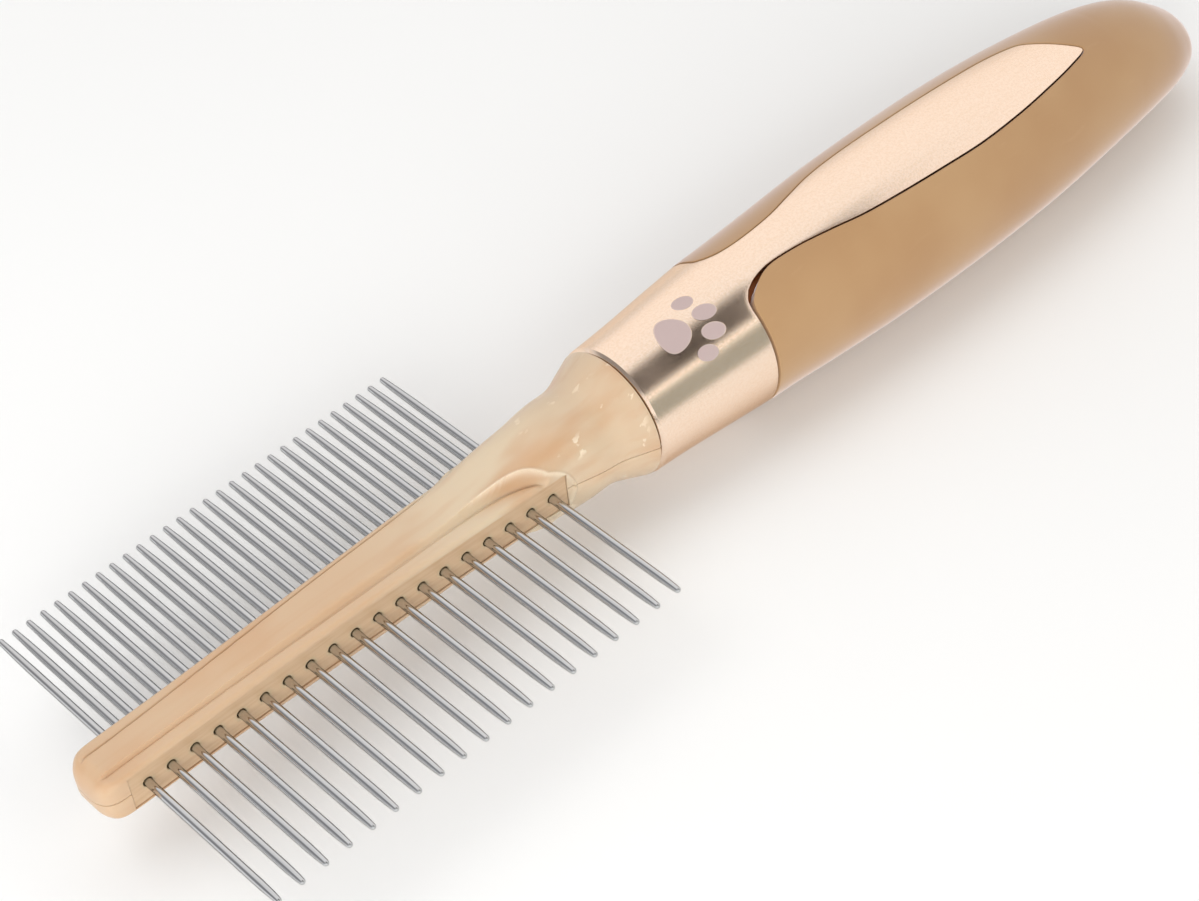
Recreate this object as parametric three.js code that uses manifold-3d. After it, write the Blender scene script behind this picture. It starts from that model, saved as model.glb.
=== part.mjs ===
// Double-sided dematting comb with free-turning steel pins.
// Millimetres, +Z up. +X runs from the head's free end to the butt of the handle,
// the wide pins point to -Y and the fine pins to +Y.
// Inside the group, x = 0 is the first wide pin and z = 0 the plane of the pins. The group then
// moves the whole comb so that the origin is the middle of the underside of its bounding box.

import * as THREE from "three";
import { mergeVertices } from "three/addons/utils/BufferGeometryUtils.js";
import Module from "manifold-3d";

const wasm = await Module();
wasm.setup();

// ---- Driving dimensions ----

const GAP = 0.3; // between pieces that sit against each other

// Pins
const PIN_SIDES = 10;
const PIN_INNER = 1.4; // from the axis to the pin's inner end
const FLANGE_THICKNESS = 0.8;
const TIP_ROUNDING = 0.35;
const WIDE = {
  side: -1, // the row points to -Y
  count: 19,
  pitch: 4.4,
  first: 0,
  reach: 36, // from the comb's axis to the tips
  radius: 0.7,
  taper: 4.5, // length of the narrowing end
  tip: 0.5, // radius at the tip
  flange: 1.35,
  hole: 0.9,
};
const FINE = {
  side: 1,
  count: 30,
  pitch: 2.688,
  first: 0.62,
  reach: 34.8,
  radius: 0.7,
  taper: 9,
  tip: 0.38,
  flange: 1.15,
  hole: 0.9,
};

// Head
const TIP_X = -8.1; // the head's free end
const FACE_AT_TIP = 4.75; // half the head's width where the pins come out
const FACE_AT_NECK = 7.1;
const FACE_STRAIGHT_END = 5; // the sides are parallel up to here
const FACE_END = 82.2; // where the head meets the neck
const LIP_PROUD = 0.2; // how far the shells stand out past the pin carriers
const SHOULDER_HEIGHT = 4.6; // half the head's thickness at its long edges
const RIB_HEIGHT = 5.1; // half its thickness over the middle rib
const RIB_HALF_WIDTH = 2.6;
const EDGE_ROUNDING = 0.6;
const CHANNEL_HALF_HEIGHT = 3.6; // the slot that holds the two pin carriers
const CHANNEL_START = -3.2;

// Pin carriers and backing bar
const CARRIER_INNER = 2.3; // from the axis to the carrier's back
const CARRIER_HALF_HEIGHT = CHANNEL_HALF_HEIGHT - GAP;
const BAR_HALF_WIDTH = 1.05;

// Neck, as radius over x
const NECK = [
  [62, 5.2],
  [70, 6.2],
  [77, 7.7],
  [83, 9],
  [90.5, 9.3],
  [92.8, 9.5],
  [95, 10.3],
  [98.8, 11.9],
];

// Handle, as radius and centre height over x
const COLLAR_START = 99.1;
const COLLAR_END = 123.9;
const BUTT_X = 244.7;
const HANDLE = [
  [COLLAR_START, 11.95, 0],
  [107, 12.4, 0],
  [125, 13.9, 0],
  [131, 14.05, -0.2],
  [140, 14.6, -0.4],
  [156, 15.4, -0.6],
  [173, 15.6, -0.85],
  [187, 15.35, -1.1],
  [200, 14.65, -1.45],
  [213, 13.45, -1.8],
  [222, 12.4, -2.15],
  [229, 11.1, -3.1],
  [234, 9.8, -4.4],
  [238, 8.3, -6],
  [241.5, 6.6, -7],
  [243.9, 4, -7.6],
  [BUTT_X, 0, -7.7],
];
const AROUND = 32; // facets round the neck and the handle
const SKIN = 2.0; // thickness of the sleeve and of the grip
const TANG = { halfWidth: 6, halfHeight: 5, length: 42 };

// Tongue of the sleeve seen from above, as [x, y] from the collar to the tip and back
const TONGUE_NEAR = [
  [COLLAR_END - 2, -9.5],
  [COLLAR_END + 0.3, -7.2],
  [125.6, -5.9],
  [128, -4.9],
  [132, -4.3],
  [138.5, -4.8],
  [145.5, -6],
  [152, -7.2],
  [160, -8],
  [170, -8.6],
  [180, -8.9],
  [190, -8.4],
  [198, -7.5],
  [205, -6.4],
  [212, -4.9],
];
const TONGUE_FAR = [
  [203, 3.6],
  [196, 4.8],
  [187, 5.3],
  [172, 5.9],
  [160, 6.2],
  [152, 5.8],
  [146, 4.6],
  [140, 3.4],
  [133, 3],
  [128, 3.4],
  [125.6, 4.3],
  [COLLAR_END + 0.3, 5.6],
  [COLLAR_END - 2, 8],
];

// ---- Solids ----

// A three.js geometry as a solid.
function solid(geometry) {
  const bare = geometry.index ? geometry.toNonIndexed() : geometry.clone();
  bare.deleteAttribute("normal");
  bare.deleteAttribute("uv");
  const merged = mergeVertices(bare, 1e-4);
  return new wasm.Manifold(
    new wasm.Mesh({
      numProp: 3,
      vertProperties: merged.attributes.position.array,
      triVerts: new Uint32Array(merged.index.array),
    }),
  );
}

// A solid as a named mesh.
function piece(name, shape, material) {
  const mesh = shape.getMesh();
  const geometry = new THREE.BufferGeometry();
  geometry.setAttribute("position", new THREE.BufferAttribute(mesh.vertProperties, 3));
  geometry.setIndex(new THREE.BufferAttribute(mesh.triVerts, 1));
  geometry.computeVertexNormals();
  const node = new THREE.Mesh(geometry, material);
  node.name = name;
  return node;
}

function box(x0, x1, y0, y1, z0, z1) {
  const geometry = new THREE.BoxGeometry(x1 - x0, y1 - y0, z1 - z0);
  geometry.translate((x0 + x1) / 2, (y0 + y1) / 2, (z0 + z1) / 2);
  return solid(geometry);
}

// An outline in the XY plane as a prism between two heights, with optional rounded edges.
function prism(outline, z0, z1, rounding = 0) {
  const shape = outline instanceof THREE.Shape ? outline : new THREE.Shape(outline);
  const geometry = new THREE.ExtrudeGeometry(shape, {
    depth: z1 - z0 - 2 * rounding,
    bevelEnabled: rounding > 0,
    bevelThickness: rounding,
    bevelSize: rounding,
    bevelOffset: -rounding,
    bevelSegments: 2,
    curveSegments: 6,
  });
  geometry.translate(0, 0, z0 + rounding);
  return solid(geometry);
}

// A profile of [x, radius] points turned round the X axis.
function turned(profile, sides) {
  const points = profile.map(([x, radius]) => new THREE.Vector2(radius, x));
  const geometry = new THREE.LatheGeometry(points, sides);
  geometry.rotateZ(-Math.PI / 2);
  return geometry;
}

// ---- Head ----

// Half the head's width at x: parallel at the tip, widening on a parabola to the neck.
function faceAt(x) {
  const along = Math.max(0, x - FACE_STRAIGHT_END) / (FACE_END - FACE_STRAIGHT_END);
  return FACE_AT_TIP + (FACE_AT_NECK - FACE_AT_TIP) * along ** 2;
}

// Stations along the widening part of the head.
function widening(end) {
  return [0, 0.2, 0.4, 0.6, 0.8, 1].map((t) => THREE.MathUtils.lerp(FACE_STRAIGHT_END, end, t));
}

// The head's plan outline, with round corners at its free end.
function headOutline() {
  const corner = 4;
  const half = FACE_AT_TIP + LIP_PROUD;
  const side = widening(FACE_END + 4).map((x) => [x, faceAt(x) + LIP_PROUD]);
  const outline = new THREE.Shape();
  outline.moveTo(TIP_X, -half + corner);
  outline.quadraticCurveTo(TIP_X, -half, TIP_X + corner, -half);
  for (const [x, y] of side) outline.lineTo(x, -y);
  for (const [x, y] of side.toReversed()) outline.lineTo(x, y);
  outline.lineTo(TIP_X + corner, half);
  outline.quadraticCurveTo(TIP_X, half, TIP_X, half - corner);
  return outline;
}

// The plan outline of the middle rib, which sweeps out into the neck behind the last pins.
function ribOutline() {
  const start = TIP_X + 2.2;
  const outline = new THREE.Shape();
  outline.moveTo(start, -1);
  outline.quadraticCurveTo(start, -RIB_HALF_WIDTH, start + 2, -RIB_HALF_WIDTH);
  outline.lineTo(68, -RIB_HALF_WIDTH);
  outline.bezierCurveTo(76, -RIB_HALF_WIDTH, 80, -6, FACE_END, -13);
  outline.lineTo(NECK.at(-1)[0] + 1, -13);
  outline.lineTo(NECK.at(-1)[0] + 1, 13);
  outline.lineTo(FACE_END, 13);
  outline.bezierCurveTo(80, 6, 76, RIB_HALF_WIDTH, 68, RIB_HALF_WIDTH);
  outline.lineTo(start + 2, RIB_HALF_WIDTH);
  outline.quadraticCurveTo(start, RIB_HALF_WIDTH, start, 1);
  return outline;
}

function headBody() {
  const strip = prism(headOutline(), -SHOULDER_HEIGHT, SHOULDER_HEIGHT, EDGE_ROUNDING);
  const neckProfile = [[NECK[0][0], 0], ...NECK, [NECK.at(-1)[0], 0]];
  const neck = solid(turned(neckProfile, AROUND));
  const flat = box(TIP_X, FACE_END, -RIB_HALF_WIDTH, RIB_HALF_WIDTH, -RIB_HEIGHT, RIB_HEIGHT);
  const rib = neck.add(flat).intersect(prism(ribOutline(), -20, 20));
  return strip.add(rib);
}

// The upper shell is side 1 and the lower shell side -1. Each ends in half of the tang.
function headShell(body, side) {
  const half = side > 0 ? [GAP / 2, 30] : [-30, -GAP / 2];
  const channelHeight = side > 0 ? [-1, CHANNEL_HALF_HEIGHT] : [-CHANNEL_HALF_HEIGHT, 1];
  const tangHeight = side > 0 ? [GAP / 2, TANG.halfHeight] : [-TANG.halfHeight, -GAP / 2];
  const tangEnd = COLLAR_START + TANG.length;
  const halfSpace = box(TIP_X - 5, tangEnd + 5, -30, 30, ...half);
  const channel = box(CHANNEL_START, FACE_END + GAP, -30, 30, ...channelHeight);
  const tang = box(90, tangEnd, -TANG.halfWidth, TANG.halfWidth, ...tangHeight);
  return body.intersect(halfSpace).subtract(channel).add(tang);
}

// ---- Pins, carriers and backing bar ----

function pinXs(row) {
  return Array.from({ length: row.count }, (_, i) => row.first + i * row.pitch);
}

// A headed pin with a tapered shank and a rounded tip, lying along Y from its inner end.
function pinGeometry(row) {
  const length = row.reach - PIN_INNER;
  const profile = [
    [0, 0],
    [0, row.flange],
    [FLANGE_THICKNESS, row.flange],
    [FLANGE_THICKNESS, row.radius],
    [length - row.taper, row.radius],
    [length - TIP_ROUNDING, row.tip],
    [length - 0.1, row.tip * 0.6],
    [length, 0],
  ];
  const geometry = turned(profile, PIN_SIDES);
  geometry.rotateZ((row.side * Math.PI) / 2);
  return geometry;
}

function pinCarrier(row) {
  const start = CHANNEL_START + GAP;
  const outer = [start, ...widening(FACE_END)].map((x) => {
    return new THREE.Vector2(x, row.side * faceAt(x));
  });
  const inner = [FACE_END, start].map((x) => new THREE.Vector2(x, row.side * CARRIER_INNER));
  let carrier = prism([...outer, ...inner], -CARRIER_HALF_HEIGHT, CARRIER_HALF_HEIGHT);
  const drillLength = FACE_AT_NECK + 4;
  for (const x of pinXs(row)) {
    const drill = new THREE.CylinderGeometry(row.hole, row.hole, drillLength, 12);
    drill.translate(x, (row.side * drillLength) / 2, 0);
    carrier = carrier.subtract(solid(drill));
  }
  return carrier;
}

function backingBar() {
  const start = CHANNEL_START + GAP;
  const height = CARRIER_HALF_HEIGHT;
  return box(start, FACE_END, -BAR_HALF_WIDTH, BAR_HALF_WIDTH, -height, height);
}

// ---- Handle ----

// The radius or the centre height of the handle at x.
function handleAt(x, column) {
  const next = HANDLE.findIndex((station) => station[0] > x);
  if (next < 1) return HANDLE.at(next < 0 ? -1 : 0)[column];
  const [before, after] = [HANDLE[next - 1], HANDLE[next]];
  return THREE.MathUtils.mapLinear(x, before[0], after[0], before[column], after[column]);
}

// The handle's outside moved in by inset, closed by a flat face at start.
function handleBody(inset, start) {
  const curve = new THREE.SplineCurve(HANDLE.map(([x, radius]) => new THREE.Vector2(x, radius)));
  const steps = HANDLE.length - 1;
  const inner = HANDLE.map((station, i) => {
    const tangent = curve.getTangent(i / steps);
    const offset = i === steps ? [-inset, 0] : [inset * tangent.y, -inset * tangent.x];
    return [station[0] + offset[0], station[1] + offset[1]];
  });
  const kept = inner.filter(([x]) => x > start + 1);
  const startRadius = handleAt(start, 1) - inset;
  const profile = [[start, 0], [start, startRadius], ...kept];
  const geometry = turned(profile, AROUND);
  const position = geometry.attributes.position;
  for (let i = 0; i < position.count; i++) {
    position.setZ(i, position.getZ(i) + handleAt(position.getX(i), 2));
  }
  return solid(geometry);
}

// The prism over the tongue's outline, grown by clearance.
function tonguePrism(clearance) {
  const grow = (side) => ([x, y], i, all) => {
    const atTip = x > 200 && (i === 0 || i === all.length - 1);
    return new THREE.Vector2(x + (atTip ? clearance : 0), y + side * clearance);
  };
  const outline = [...TONGUE_NEAR.map(grow(-1)), ...TONGUE_FAR.map(grow(1))];
  return prism(outline, 0, 30);
}

// The sleeve: the collar round the front of the handle and the tongue on its upper side.
function sleeveShell() {
  const outside = handleBody(0, COLLAR_START);
  const hollow = handleBody(SKIN, COLLAR_START - 1);
  const collar = box(COLLAR_START - 5, COLLAR_END, -30, 30, -30, 30);
  return outside.subtract(hollow).intersect(collar.add(tonguePrism(0)));
}

function gripShell() {
  const start = COLLAR_END + GAP;
  const outside = handleBody(0, start);
  const hollow = handleBody(SKIN, start - 1);
  return outside.subtract(hollow).subtract(tonguePrism(GAP));
}

function coreBody() {
  const start = COLLAR_START + GAP;
  const socketEnd = COLLAR_START + TANG.length + GAP;
  const halfWidth = TANG.halfWidth + GAP;
  const halfHeight = TANG.halfHeight + GAP;
  const socket = box(start - 5, socketEnd, -halfWidth, halfWidth, -halfHeight, halfHeight);
  return handleBody(SKIN + GAP, start).subtract(socket);
}

// ---- Assembly ----

function material(color, roughness, metalness) {
  return new THREE.MeshStandardMaterial({ color, roughness, metalness });
}

const shellPlastic = material("#d9b996", 0.38, 0);
const carrierPlastic = material("#d2bf9c", 0.45, 0);
const corePlastic = material("#b08a63", 0.6, 0);
const pinSteel = material("#b9b9b8", 0.18, 1);
const satinGold = material("#e8c3a4", 0.3, 1);
const gripRubber = material("#bf9a70", 0.75, 0);

const comb = new THREE.Group();
const lowest = Math.min(...HANDLE.map(([, radius, centre]) => centre - radius));
comb.position.set(-(TIP_X + BUTT_X) / 2, (WIDE.reach - FINE.reach) / 2, -lowest);

const body = headBody();
comb.add(piece("head_upper_shell", headShell(body, 1), shellPlastic));
comb.add(piece("head_lower_shell", headShell(body, -1), shellPlastic));
comb.add(piece("wide_pin_carrier", pinCarrier(WIDE), carrierPlastic));
comb.add(piece("fine_pin_carrier", pinCarrier(FINE), carrierPlastic));
comb.add(piece("pin_backing_bar", backingBar(), carrierPlastic));
comb.add(piece("handle_core", coreBody(), corePlastic));
comb.add(piece("gold_sleeve", sleeveShell(), satinGold));
comb.add(piece("rubber_grip", gripShell(), gripRubber));

for (const [rowName, row] of Object.entries({ wide: WIDE, fine: FINE })) {
  const geometry = pinGeometry(row);
  pinXs(row).forEach((x, i) => {
    const pin = new THREE.Mesh(geometry, pinSteel);
    pin.name = `${rowName}_pin_${String(i + 1).padStart(2, "0")}`;
    pin.position.set(x, row.side * PIN_INNER, 0);
    comb.add(pin);
  });
}

export default comb;
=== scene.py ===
# Double-sided dematting comb: moulded head, rose gold sleeve, soft grip and free-turning pins.
# Shapes are worked out in millimetres from the comb's own origin: x = 0 is the first wide pin,
# +X runs to the handle, the wide pins point to -Y and z = 0 is the plane of the pins.
import bisect
import math

import bmesh
import bpy
from mathutils import Matrix, Vector


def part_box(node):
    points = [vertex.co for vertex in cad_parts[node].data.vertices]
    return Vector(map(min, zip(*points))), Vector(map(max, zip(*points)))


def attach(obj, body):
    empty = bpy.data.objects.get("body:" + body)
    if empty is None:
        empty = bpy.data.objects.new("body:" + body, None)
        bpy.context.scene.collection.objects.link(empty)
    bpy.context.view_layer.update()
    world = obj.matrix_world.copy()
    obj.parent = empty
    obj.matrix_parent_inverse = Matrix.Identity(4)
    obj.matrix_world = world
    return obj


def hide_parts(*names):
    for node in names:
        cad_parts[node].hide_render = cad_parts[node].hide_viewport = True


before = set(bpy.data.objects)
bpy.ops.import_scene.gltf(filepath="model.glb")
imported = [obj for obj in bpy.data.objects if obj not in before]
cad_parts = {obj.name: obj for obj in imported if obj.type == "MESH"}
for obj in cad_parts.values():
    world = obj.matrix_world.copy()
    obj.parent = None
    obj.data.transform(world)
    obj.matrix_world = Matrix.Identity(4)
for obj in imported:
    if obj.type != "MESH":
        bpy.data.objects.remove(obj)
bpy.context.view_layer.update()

mm = 0.001


def middle(node):
    low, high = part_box(node)
    return (low + high) / 2


firstPin = middle("wide_pin_01")
combOrigin = Vector((firstPin.x, middle("head_upper_shell").y, firstPin.z))


def place(x, y, z):
    return combOrigin + Vector((x, y, z)) * mm


def mix(a, b, t):
    return a + (b - a) * t


def smoothStep(low, high, value):
    t = min(1, max(0, (value - low) / (high - low)))
    return t * t * (3 - 2 * t)


def bump(centre, width, value):
    # a soft hill of height 1
    return math.exp(-(((value - centre) / width) ** 2))


def softCurve(points, t):
    # a smooth curve through the points, t from 0 to 1 with an equal share for each span
    last = len(points) - 1
    i = min(int(t * last), last - 1)
    f = t * last - i
    before, after = points[i], points[i + 1]
    first = points[i - 1] if i > 0 else [2 * a - b for a, b in zip(before, after)]
    final = points[i + 2] if i + 2 <= last else [2 * b - a for a, b in zip(before, after)]
    result = []
    for a, b, c, d in zip(first, before, after, final):
        bend = 2 * a - 5 * b + 4 * c - d + f * (3 * (b - c) + d - a)
        result.append(b + 0.5 * f * (c - a + f * bend))
    return result


def evenly(points, count, smooth=True):
    # count + 1 points at equal distances along the points
    samples = 300
    if smooth:
        points = [softCurve(points, k / samples) for k in range(samples + 1)]
    run = [0]
    for a, b in zip(points, points[1:]):
        run.append(run[-1] + math.dist(a, b))
    result = []
    for k in range(count + 1):
        at = run[-1] * k / count
        i = min(max(bisect.bisect_right(run, at) - 1, 0), len(points) - 2)
        f = (at - run[i]) / max(run[i + 1] - run[i], 1e-9)
        result.append([mix(a, b, f) for a, b in zip(points[i], points[i + 1])])
    return result


def rising(points):
    # the smooth curve as a function of its first number
    samples = 600
    dense = [softCurve(points, k / samples) for k in range(samples + 1)]
    xs = [p[0] for p in dense]

    def at(x):
        i = min(max(bisect.bisect_right(xs, x) - 1, 0), samples - 1)
        f = min(1, max(0, (x - xs[i]) / max(xs[i + 1] - xs[i], 1e-9)))
        values = [mix(a, b, f) for a, b in zip(dense[i][1:], dense[i + 1][1:])]
        return values[0] if len(values) == 1 else values

    return at


class Wire:
    # an output socket that stands in a sum like a number
    def __init__(self, graph, socket):
        self.graph = graph
        self.socket = socket

    def __add__(self, other):
        return self.graph.maths("ADD", self, other)

    def __sub__(self, other):
        return self.graph.maths("SUBTRACT", self, other)

    def __rsub__(self, other):
        return self.graph.maths("SUBTRACT", other, self)

    def __mul__(self, other):
        return self.graph.maths("MULTIPLY", self, other)

    def __truediv__(self, other):
        return self.graph.maths("DIVIDE", self, other)

    __radd__ = __add__
    __rmul__ = __mul__


class Graph:
    def __init__(self, tree):
        self.tree = tree

    def node(self, kind, settings=None, inputs=None):
        made = self.tree.nodes.new(kind)
        for key, value in (settings or {}).items():
            setattr(made, key, value)
        for key, value in (inputs or {}).items():
            if isinstance(value, Wire):
                self.tree.links.new(value.socket, made.inputs[key])
            else:
                made.inputs[key].default_value = value
        return made

    def wire(self, kind, output=0, settings=None, inputs=None):
        return Wire(self, self.node(kind, settings, inputs).outputs[output])

    def maths(self, operation, *values):
        return self.wire("ShaderNodeMath", 0, {"operation": operation}, dict(enumerate(values)))

    def axes(self, vector):
        parts = self.node("ShaderNodeSeparateXYZ", None, {0: vector})
        return [Wire(self, socket) for socket in parts.outputs]

    def ramp(self, value, low, high, toLow=0.0, toHigh=1.0):
        settings = {"interpolation_type": "SMOOTHSTEP"}
        inputs = {"Value": value, 1: low, 2: high, 3: toLow, 4: toHigh}
        return self.wire("ShaderNodeMapRange", 0, settings, inputs)

    def blend(self, factor, a, b):
        settings = {"data_type": "RGBA", "clamp_factor": True}
        return self.wire("ShaderNodeMix", 2, settings, {0: factor, 6: a, 7: b})

    def noise(self, vector, scale, detail=3.0, rough=0.5):
        inputs = {"Vector": vector, "Scale": scale, "Detail": detail, "Roughness": rough}
        return self.wire("ShaderNodeTexNoise", 0, None, inputs)

    def stretched(self, vector, scale):
        return self.wire("ShaderNodeMapping", 0, None, {"Vector": vector, "Scale": scale})

    def raised(self, height, distance, strength):
        inputs = {"Height": height, "Distance": distance, "Strength": strength}
        return self.wire("ShaderNodeBump", 0, None, inputs)


def colour(code):
    # a screen colour code as the linear colour that shaders use
    channels = [int(code[i:i + 2], 16) / 255 for i in (0, 2, 4)]
    linear = [c / 12.92 if c <= 0.04045 else ((c + 0.055) / 1.055) ** 2.4 for c in channels]
    return (*linear, 1.0)


def newMaterial(name):
    # the material, its graph, and the place on a piece in millimetres from the comb's own origin
    material = bpy.data.materials.new(name)
    material.use_nodes = True
    material.node_tree.nodes.clear()
    graph = Graph(material.node_tree)
    where = graph.wire("ShaderNodeTexCoord", "Object")
    inputs = {"Vector": where, "Location": -combOrigin / mm, "Scale": (1 / mm,) * 3}
    return material, graph, graph.wire("ShaderNodeMapping", 0, None, inputs)


def surface(graph, inputs):
    shader = graph.wire("ShaderNodeBsdfPrincipled", 0, None, inputs)
    graph.node("ShaderNodeOutputMaterial", None, {"Surface": shader})


def newPiece(name, points, faces, material, sharpAbove=32, paintedRidgeHighlight=None):
    mesh = bpy.data.meshes.new(name)
    mesh.from_pydata([place(*p) for p in points], [], faces)
    # the painted highlight along the ridge is kept on the points
    if paintedRidgeHighlight:
        mesh.attributes.new("paintedRidgeHighlight", "FLOAT", "POINT").data.foreach_set("value", paintedRidgeHighlight)
    tidy = bmesh.new()
    tidy.from_mesh(mesh)
    bmesh.ops.remove_doubles(tidy, verts=tidy.verts, dist=0.002 * mm)
    bmesh.ops.recalc_face_normals(tidy, faces=tidy.faces)
    tidy.to_mesh(mesh)
    tidy.free()
    piece = bpy.data.objects.new(name, mesh)
    bpy.context.scene.collection.objects.link(piece)
    mesh.materials.append(material)
    shade(piece, sharpAbove)
    return piece


def shade(piece, sharpAbove):
    piece.data.polygons.foreach_set("use_smooth", [True] * len(piece.data.polygons))
    piece.data.set_sharp_from_angle(angle=math.radians(sharpAbove))


def applied(piece):
    # the piece with its modifiers worked into a plain mesh
    graph = bpy.context.evaluated_depsgraph_get()
    mesh = bpy.data.meshes.new_from_object(piece.evaluated_get(graph))
    mesh.name = piece.name
    piece.modifiers.clear()
    piece.data = mesh
    return piece


def combine(piece, tool, operation):
    # cuts the tool out of the piece or joins it on, and removes the tool
    step = piece.modifiers.new(operation, "BOOLEAN")
    step.operation = operation
    step.solver = "EXACT"
    step.object = tool
    applied(piece)
    bpy.data.objects.remove(tool)


def block(name, low, high, material):
    points = [[(low, high)[i][0], (low, high)[j][1], (low, high)[k][2]]
              for i in (0, 1) for j in (0, 1) for k in (0, 1)]
    faces = [(0, 1, 3, 2), (4, 6, 7, 5), (0, 4, 5, 1), (2, 3, 7, 6), (0, 2, 6, 4), (1, 5, 7, 3)]
    return newPiece(name, points, faces, material)


def gridFaces(rows, columns, start=0):
    # faces between rows of points that follow each other in a list of points
    faces = []
    for i in range(rows - 1):
        for j in range(columns - 1):
            a = start + i * columns + j
            faces.append((a, a + 1, a + columns + 1, a + columns))
    return faces


def stands(piece, body, slot, *nodes):
    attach(piece, body)
    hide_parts(*nodes)


shellLook = {
    "base": "cba682",
    "warm": "c69b76",
    "pale": "d5c1a4",
    "fleckAndHighlight": "f6e6cc",
    "paleFrom": (40.0, 72.0),
    "warmFrom": (74.0, 96.0),
    "marksFrom": (78.0, 86.0),
    "highlightAndMarksAmount": 0.75,  # how far the painted highlight on the ridge and the trimming marks go to the pale fleck colour
}


def waxyShell():
    material, graph, at = newMaterial("waxyShellPlastic")
    x = graph.axes(at)[0]
    base, warm, pale, fleckAndHighlight = (colour(shellLook[k]) for k in ("base", "warm", "pale", "fleckAndHighlight"))
    drift = graph.noise(graph.stretched(at, (0.05, 0.14, 0.14)), 1.0, 2.0)
    streaks = graph.noise(graph.stretched(at, (0.02, 0.5, 0.5)), 1.0, 2.0)
    paleness = graph.ramp(drift, 0.32, 0.6) * graph.ramp(x, *shellLook["paleFrom"], 0.3, 1.0)
    tone = graph.blend(paleness, base, pale)
    tone = graph.blend(graph.ramp(streaks, 0.5, 0.74, 0.0, 0.25), tone, warm)
    # warmer where the neck is turned towards the collar
    tone = graph.blend(graph.ramp(x, *shellLook["warmFrom"], 0.0, 0.3), tone, warm)
    # painted highlight: the thin ridge round the scoops is painted pale where it would catch the light
    ridge = graph.wire("ShaderNodeAttribute", 2, {"attribute_name": "paintedRidgeHighlight"})
    tone = graph.blend(ridge * shellLook["highlightAndMarksAmount"], tone, fleckAndHighlight)
    # small pale marks where the neck was trimmed
    marks = graph.noise(graph.stretched(at, (0.42, 0.8, 0.3)), 0.8, 3.0, 0.5)
    spread = graph.noise(at, 0.11, 1.0)
    marks = graph.ramp(marks, 0.61, 0.65) * graph.ramp(x, *shellLook["marksFrom"])
    marks = marks * graph.ramp(spread, 0.46, 0.6)
    tone = graph.blend(marks * shellLook["highlightAndMarksAmount"], tone, fleckAndHighlight)
    fine = graph.noise(at, 6.0, 2.0)
    rough = 0.34 + (fine - 0.5) * 0.16 + streaks * 0.06 - marks * 0.15 - ridge * 0.12
    ripple = graph.noise(graph.stretched(at, (0.12, 0.5, 0.5)), 1.0, 2.0)
    height = ripple * 0.4 + fine * 0.05 + marks * 0.25
    surface(graph, {
        "Base Color": tone,
        "Roughness": rough,
        "Normal": graph.raised(height, 0.16 * mm, 0.8),
        "IOR": 1.49,
        "Subsurface Weight": 0.12,
        "Subsurface Radius": (1.0, 0.62, 0.4),
        "Subsurface Scale": 0.0012,
        "Coat Weight": 0.25,
        "Coat Roughness": 0.16,
    })
    return material


# the pin strips' plastic, with painted shade round the pin holes
carrierLook = {"light": "cbac89", "dark": "c4a27f", "paintedHoleShade": "aca583", "holeShadeReach": (0.9, 2.1)}


def carrierPlastic(name, row):
    material, graph, at = newMaterial(name)
    x, _, z = graph.axes(at)
    # distance from the nearest pin hole
    step = graph.maths("PINGPONG", x - row["first"], row["pitch"] / 2)
    near = graph.maths("SQRT", step * step + z * z)
    spots = graph.noise(at, 0.8, 2.0)
    # painted shade: a darker, greener tone round each pin hole
    tint = graph.ramp(near + spots * 0.8, *carrierLook["holeShadeReach"], 1.0, 0.0)
    streaks = graph.noise(graph.stretched(at, (0.1, 1.0, 1.6)), 1.0, 3.0)
    light, dark = colour(carrierLook["light"]), colour(carrierLook["dark"])
    tone = graph.blend(graph.ramp(streaks, 0.35, 0.7), light, dark)
    tone = graph.blend(tint * 0.55, tone, colour(carrierLook["paintedHoleShade"]))
    fine = graph.noise(at, 5.0, 2.0)
    surface(graph, {
        "Base Color": tone,
        "Roughness": 0.42 + (fine - 0.5) * 0.2,
        "Normal": graph.raised(streaks * 0.6 + fine * 0.2, 0.1 * mm, 0.7),
        "IOR": 1.5,
        "Subsurface Weight": 0.1,
        "Subsurface Radius": (1.0, 0.7, 0.45),
        "Subsurface Scale": 0.001,
    })
    return material


coreLook = {"deep": "8a4a20", "light": "a8632c"}


def corePlastic():
    material, graph, at = newMaterial("handleCorePlastic")
    flow = graph.noise(graph.stretched(at, (0.06, 0.5, 0.5)), 1.0, 3.0)
    fine = graph.noise(at, 4.0, 2.0)
    surface(graph, {
        "Base Color": graph.blend(flow, colour(coreLook["deep"]), colour(coreLook["light"])),
        "Roughness": 0.45 + (fine - 0.5) * 0.2,
        "Normal": graph.raised(fine, 0.05 * mm, 0.5),
    })
    return material


pawPrint = {
    "x": 112.5,
    "arc": 4.6,
    "turn": math.radians(16),
    # along, across, half length, half width
    "pad": (-2.2, 0.0, 3.0, 3.7),
    "toes": [(2.0, -4.9, 1.9, 1.35), (4.3, -1.75, 2.15, 1.4),
             (4.3, 1.75, 2.15, 1.4), (2.0, 4.9, 1.9, 1.35)],
    "edge": 0.1,
}


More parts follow.
